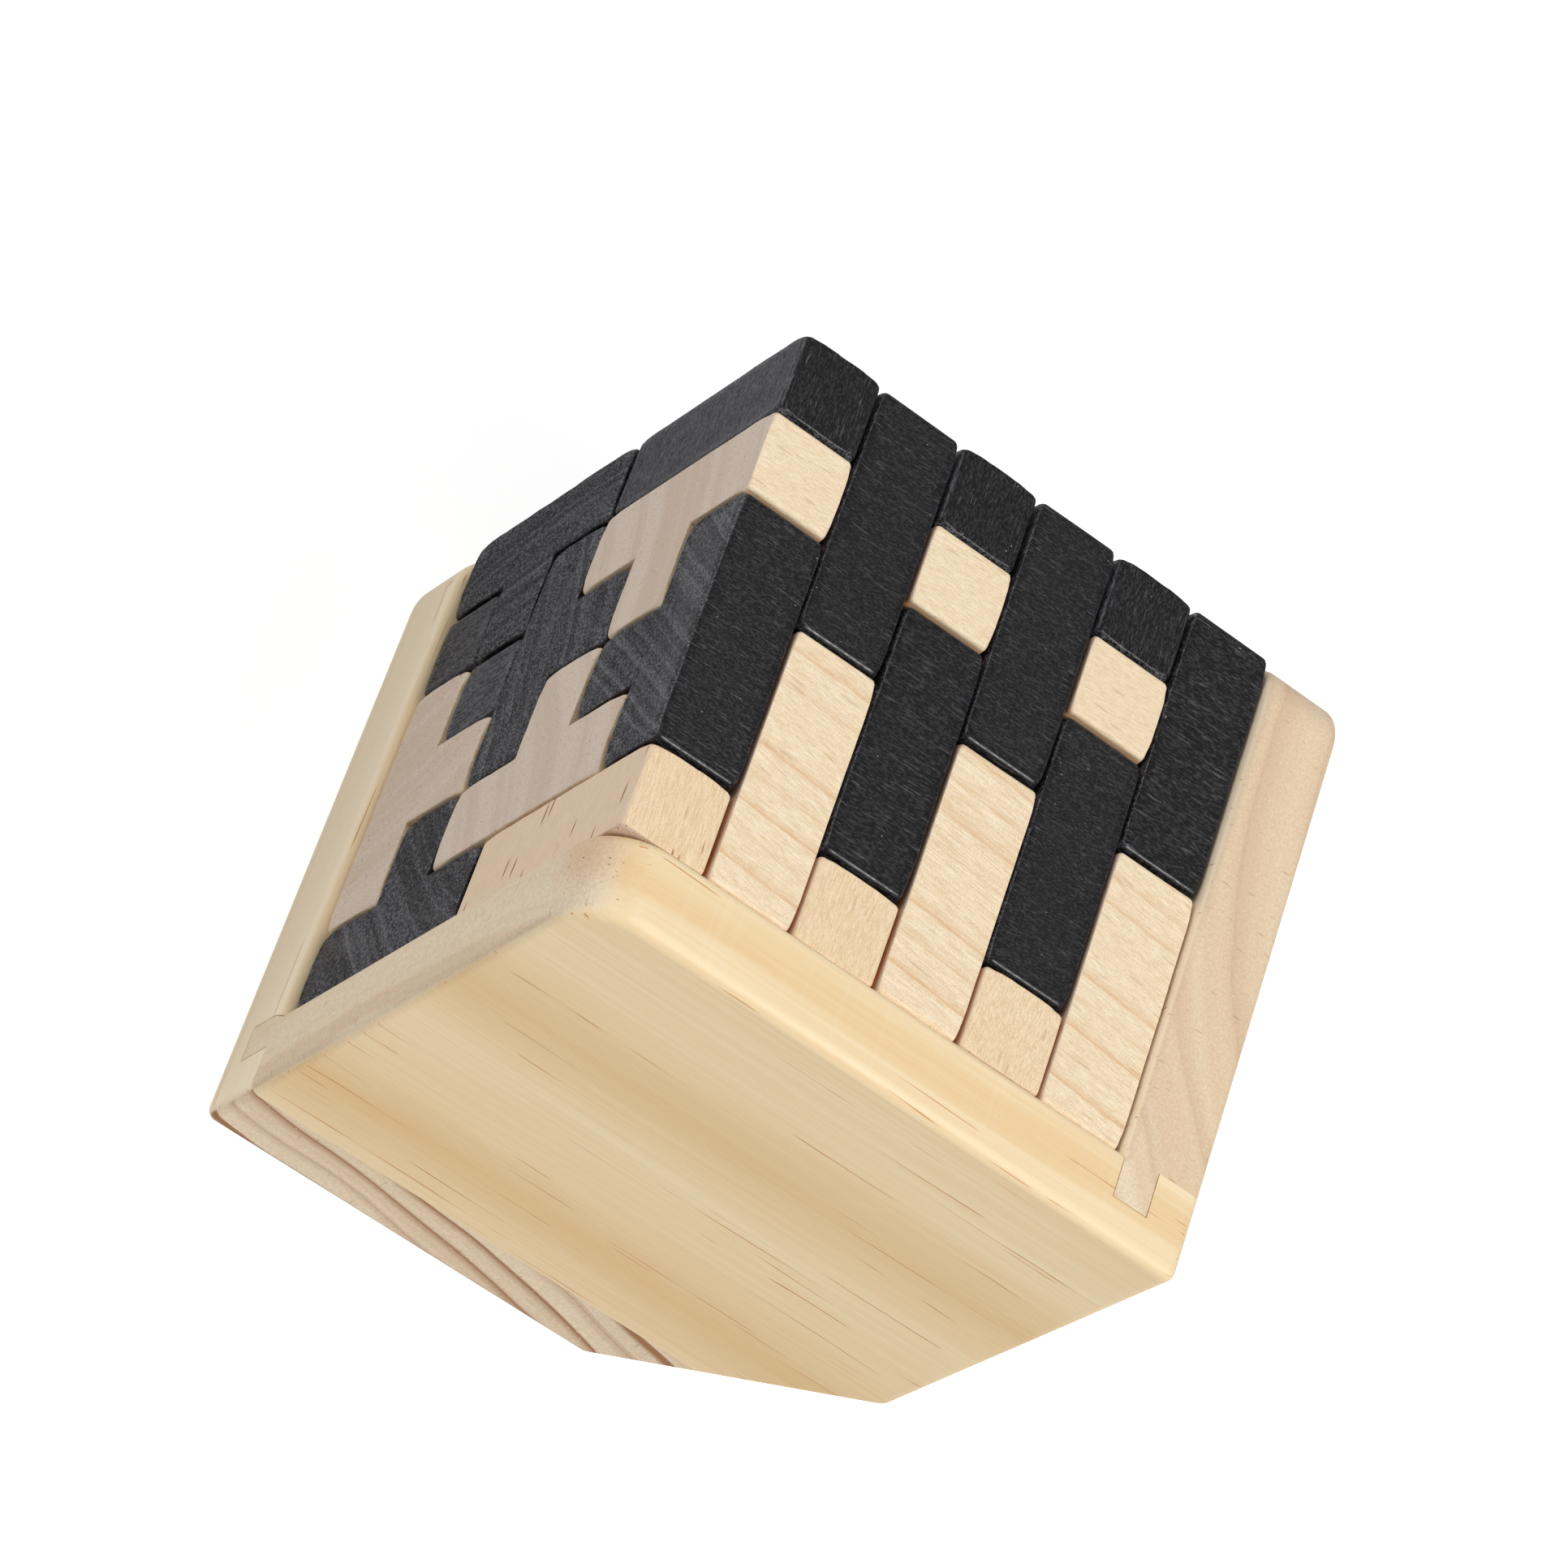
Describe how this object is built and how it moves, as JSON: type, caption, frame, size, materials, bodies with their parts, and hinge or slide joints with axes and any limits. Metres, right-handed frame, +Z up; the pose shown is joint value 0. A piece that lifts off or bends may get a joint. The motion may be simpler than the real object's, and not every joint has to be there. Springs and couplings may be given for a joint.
{
  "type": "wooden t-block puzzle cube",
  "caption": "Packing puzzle: a cube of loose black and natural T-shaped wooden blocks in an open tongue-and-groove pine corner tray that also stands on its sawn-off corner.",
  "frame": {"origin": "middle of the bounding box, on the underside of the tray's base board", "axes": "+Z up with the tray lying on its base, -Y to the open front, -X to the open left side, right wall at +X, back wall at +Y"},
  "size_m": [0.0702, 0.0702, 0.0703],
  "materials": {
    "pine_board": "sanded bare pine",
    "natural_block": "sanded bare hardwood",
    "black_block": "black stain, satin"
  },
  "bodies": {
    "tray": {"tray_base": "pine_board", "tray_back_wall": "pine_board", "tray_right_wall": "pine_board"},
    "back_block_a": {"back_block_a": "black_block"},
    "back_block_b": {"back_block_b": "black_block"},
    "back_block_c": {"back_block_c": "natural_block"},
    "back_block_d": {"back_block_d": "black_block"},
    "back_block_e": {"back_block_e": "black_block"},
    "back_block_f": {"back_block_f": "black_block"},
    "back_block_g": {"back_block_g": "black_block"},
    "back_block_h": {"back_block_h": "natural_block"},
    "back_block_i": {"back_block_i": "natural_block"},
    "back_block_j": {"back_block_j": "black_block"},
    "back_block_k": {"back_block_k": "natural_block"},
    "back_block_l": {"back_block_l": "black_block"},
    "back_block_m": {"back_block_m": "natural_block"},
    "back_block_n": {"back_block_n": "black_block"},
    "back_block_o": {"back_block_o": "natural_block"},
    "back_block_p": {"back_block_p": "natural_block"},
    "back_block_q": {"back_block_q": "natural_block"},
    "back_block_r": {"back_block_r": "natural_block"},
    "front_block_a": {"front_block_a": "black_block"},
    "front_block_b": {"front_block_b": "black_block"},
    "front_block_c": {"front_block_c": "natural_block"},
    "front_block_d": {"front_block_d": "black_block"},
    "front_block_e": {"front_block_e": "black_block"},
    "front_block_f": {"front_block_f": "black_block"},
    "front_block_g": {"front_block_g": "black_block"},
    "front_block_h": {"front_block_h": "natural_block"},
    "front_block_i": {"front_block_i": "natural_block"},
    "front_block_j": {"front_block_j": "black_block"},
    "front_block_k": {"front_block_k": "natural_block"},
    "front_block_l": {"front_block_l": "black_block"},
    "front_block_m": {"front_block_m": "natural_block"},
    "front_block_n": {"front_block_n": "black_block"},
    "front_block_o": {"front_block_o": "natural_block"},
    "front_block_p": {"front_block_p": "natural_block"},
    "front_block_q": {"front_block_q": "natural_block"},
    "front_block_r": {"front_block_r": "natural_block"},
    "middle_block_a": {"middle_block_a": "black_block"},
    "middle_block_b": {"middle_block_b": "black_block"},
    "middle_block_c": {"middle_block_c": "natural_block"},
    "middle_block_d": {"middle_block_d": "black_block"},
    "middle_block_e": {"middle_block_e": "black_block"},
    "middle_block_f": {"middle_block_f": "black_block"},
    "middle_block_g": {"middle_block_g": "black_block"},
    "middle_block_h": {"middle_block_h": "natural_block"},
    "middle_block_i": {"middle_block_i": "natural_block"},
    "middle_block_j": {"middle_block_j": "black_block"},
    "middle_block_k": {"middle_block_k": "natural_block"},
    "middle_block_l": {"middle_block_l": "black_block"},
    "middle_block_m": {"middle_block_m": "natural_block"},
    "middle_block_n": {"middle_block_n": "black_block"},
    "middle_block_o": {"middle_block_o": "natural_block"},
    "middle_block_p": {"middle_block_p": "natural_block"},
    "middle_block_q": {"middle_block_q": "natural_block"},
    "middle_block_r": {"middle_block_r": "natural_block"}
  },
  "joints": [
    {"name": "back_block_a_slide", "type": "slide", "parent": "back_block_c", "child": "back_block_a", "axis": [-1, 0, 0], "range_m": [0, 0.015]},
    {"name": "back_block_b_slide", "type": "slide", "parent": "back_block_e", "child": "back_block_b", "axis": [-1, 0, 0], "range_m": [0, 0.025]},
    {"name": "back_block_c_slide", "type": "slide", "parent": "back_block_d", "child": "back_block_c", "axis": [-1, 0, 0], "range_m": [0, 0.035]},
    {"name": "back_block_d_slide", "type": "slide", "parent": "tray", "child": "back_block_d", "axis": [-1, 0, 0], "range_m": [0, 0.045]},
    {"name": "back_block_e_slide", "type": "slide", "parent": "back_block_f", "child": "back_block_e", "axis": [-1, 0, 0], "range_m": [0, 0.035]},
    {"name": "back_block_f_slide", "type": "slide", "parent": "back_block_p", "child": "back_block_f", "axis": [-1, 0, 0], "range_m": [0, 0.045]},
    {"name": "back_block_g_lift", "type": "slide", "parent": "back_block_i", "child": "back_block_g", "axis": [0, 0, 1], "range_m": [0, 0.025]},
    {"name": "back_block_h_slide", "type": "slide", "parent": "back_block_d", "child": "back_block_h", "axis": [-1, 0, 0], "range_m": [0, 0.055]},
    {"name": "back_block_i_lift", "type": "slide", "parent": "back_block_j", "child": "back_block_i", "axis": [0, 0, 1], "range_m": [0, 0.045]},
    {"name": "back_block_j_lift", "type": "slide", "parent": "tray", "child": "back_block_j", "axis": [0, 0, 1], "range_m": [0, 0.065]},
    {"name": "back_block_k_lift", "type": "slide", "parent": "back_block_q", "child": "back_block_k", "axis": [0, 0, 1], "range_m": [0, 0.035]},
    {"name": "back_block_l_lift", "type": "slide", "parent": "back_block_o", "child": "back_block_l", "axis": [0, 0, 1], "range_m": [0, 0.025]},
    {"name": "back_block_m_lift", "type": "slide", "parent": "back_block_r", "child": "back_block_m", "axis": [0, 0, 1], "range_m": [0, 0.025]},
    {"name": "back_block_n_slide", "type": "slide", "parent": "back_block_f", "child": "back_block_n", "axis": [-1, 0, 0], "range_m": [0, 0.025]},
    {"name": "back_block_o_lift", "type": "slide", "parent": "tray", "child": "back_block_o", "axis": [0, 0, 1], "range_m": [0, 0.045]},
    {"name": "back_block_p_slide", "type": "slide", "parent": "back_block_h", "child": "back_block_p", "axis": [-1, 0, 0], "range_m": [0, 0.065]},
    {"name": "back_block_q_lift", "type": "slide", "parent": "back_block_j", "child": "back_block_q", "axis": [0, 0, 1], "range_m": [0, 0.055]},
    {"name": "back_block_r_lift", "type": "slide", "parent": "back_block_k", "child": "back_block_r", "axis": [0, 0, 1], "range_m": [0, 0.045]},
    {"name": "middle_block_a_slide", "type": "slide", "parent": "middle_block_c", "child": "middle_block_a", "axis": [-1, 0, 0], "range_m": [0, 0.015]},
    {"name": "middle_block_b_slide", "type": "slide", "parent": "middle_block_e", "child": "middle_block_b", "axis": [-1, 0, 0], "range_m": [0, 0.025]},
    {"name": "middle_block_c_slide", "type": "slide", "parent": "middle_block_d", "child": "middle_block_c", "axis": [-1, 0, 0], "range_m": [0, 0.035]},
    {"name": "middle_block_d_slide", "type": "slide", "parent": "tray", "child": "middle_block_d", "axis": [-1, 0, 0], "range_m": [0, 0.045]},
    {"name": "middle_block_e_slide", "type": "slide", "parent": "middle_block_f", "child": "middle_block_e", "axis": [-1, 0, 0], "range_m": [0, 0.035]},
    {"name": "middle_block_f_slide", "type": "slide", "parent": "middle_block_p", "child": "middle_block_f", "axis": [-1, 0, 0], "range_m": [0, 0.045]},
    {"name": "middle_block_g_lift", "type": "slide", "parent": "middle_block_i", "child": "middle_block_g", "axis": [0, 0, 1], "range_m": [0, 0.025]},
    {"name": "middle_block_h_slide", "type": "slide", "parent": "middle_block_d", "child": "middle_block_h", "axis": [-1, 0, 0], "range_m": [0, 0.055]},
    {"name": "middle_block_i_lift", "type": "slide", "parent": "middle_block_j", "child": "middle_block_i", "axis": [0, 0, 1], "range_m": [0, 0.045]},
    {"name": "middle_block_j_lift", "type": "slide", "parent": "tray", "child": "middle_block_j", "axis": [0, 0, 1], "range_m": [0, 0.065]},
    {"name": "middle_block_k_lift", "type": "slide", "parent": "middle_block_q", "child": "middle_block_k", "axis": [0, 0, 1], "range_m": [0, 0.035]},
    {"name": "middle_block_l_lift", "type": "slide", "parent": "middle_block_o", "child": "middle_block_l", "axis": [0, 0, 1], "range_m": [0, 0.025]},
    {"name": "middle_block_m_lift", "type": "slide", "parent": "middle_block_r", "child": "middle_block_m", "axis": [0, 0, 1], "range_m": [0, 0.025]},
    {"name": "middle_block_n_slide", "type": "slide", "parent": "middle_block_f", "child": "middle_block_n", "axis": [-1, 0, 0], "range_m": [0, 0.025]},
    {"name": "middle_block_o_lift", "type": "slide", "parent": "tray", "child": "middle_block_o", "axis": [0, 0, 1], "range_m": [0, 0.045]},
    {"name": "middle_block_p_slide", "type": "slide", "parent": "middle_block_h", "child": "middle_block_p", "axis": [-1, 0, 0], "range_m": [0, 0.065]},
    {"name": "middle_block_q_lift", "type": "slide", "parent": "middle_block_j", "child": "middle_block_q", "axis": [0, 0, 1], "range_m": [0, 0.055]},
    {"name": "middle_block_r_lift", "type": "slide", "parent": "middle_block_k", "child": "middle_block_r", "axis": [0, 0, 1], "range_m": [0, 0.045]},
    {"name": "front_block_a_slide", "type": "slide", "parent": "tray", "child": "front_block_a", "axis": [0, -1, 0], "range_m": [0, 0.025]},
    {"name": "front_block_b_slide", "type": "slide", "parent": "front_block_e", "child": "front_block_b", "axis": [0, -1, 0], "range_m": [0, 0.015]},
    {"name": "front_block_c_slide", "type": "slide", "parent": "tray", "child": "front_block_c", "axis": [0, -1, 0], "range_m": [0, 0.015]},
    {"name": "front_block_d_slide", "type": "slide", "parent": "tray", "child": "front_block_d", "axis": [0, -1, 0], "range_m": [0, 0.015]},
    {"name": "front_block_e_slide", "type": "slide", "parent": "front_block_f", "child": "front_block_e", "axis": [-1, 0, 0], "range_m": [0, 0.035]},
    {"name": "front_block_f_slide", "type": "slide", "parent": "front_block_p", "child": "front_block_f", "axis": [-1, 0, 0], "range_m": [0, 0.045]},
    {"name": "front_block_g_slide", "type": "slide", "parent": "tray", "child": "front_block_g", "axis": [0, -1, 0], "range_m": [0, 0.015]},
    {"name": "front_block_h_slide", "type": "slide", "parent": "tray", "child": "front_block_h", "axis": [0, -1, 0], "range_m": [0, 0.015]},
    {"name": "front_block_i_slide", "type": "slide", "parent": "tray", "child": "front_block_i", "axis": [0, -1, 0], "range_m": [0, 0.015]},
    {"name": "front_block_j_slide", "type": "slide", "parent": "tray", "child": "front_block_j", "axis": [0, -1, 0], "range_m": [0, 0.015]},
    {"name": "front_block_k_slide", "type": "slide", "parent": "front_block_q", "child": "front_block_k", "axis": [0, -1, 0], "range_m": [0, 0.025]},
    {"name": "front_block_l_lift", "type": "slide", "parent": "front_block_o", "child": "front_block_l", "axis": [0, 0, 1], "range_m": [0, 0.025]},
    {"name": "front_block_m_lift", "type": "slide", "parent": "front_block_r", "child": "front_block_m", "axis": [0, 0, 1], "range_m": [0, 0.025]},
    {"name": "front_block_n_slide", "type": "slide", "parent": "front_block_f", "child": "front_block_n", "axis": [-1, 0, 0], "range_m": [0, 0.025]},
    {"name": "front_block_o_lift", "type": "slide", "parent": "tray", "child": "front_block_o", "axis": [0, 0, 1], "range_m": [0, 0.045]},
    {"name": "front_block_p_slide", "type": "slide", "parent": "tray", "child": "front_block_p", "axis": [-1, 0, 0], "range_m": [0, 0.065]},
    {"name": "front_block_q_lift", "type": "slide", "parent": "tray", "child": "front_block_q", "axis": [0, 0, 1], "range_m": [0, 0.055]},
    {"name": "front_block_r_lift", "type": "slide", "parent": "front_block_q", "child": "front_block_r", "axis": [0, 0, 1], "range_m": [0, 0.045]}
  ]
}
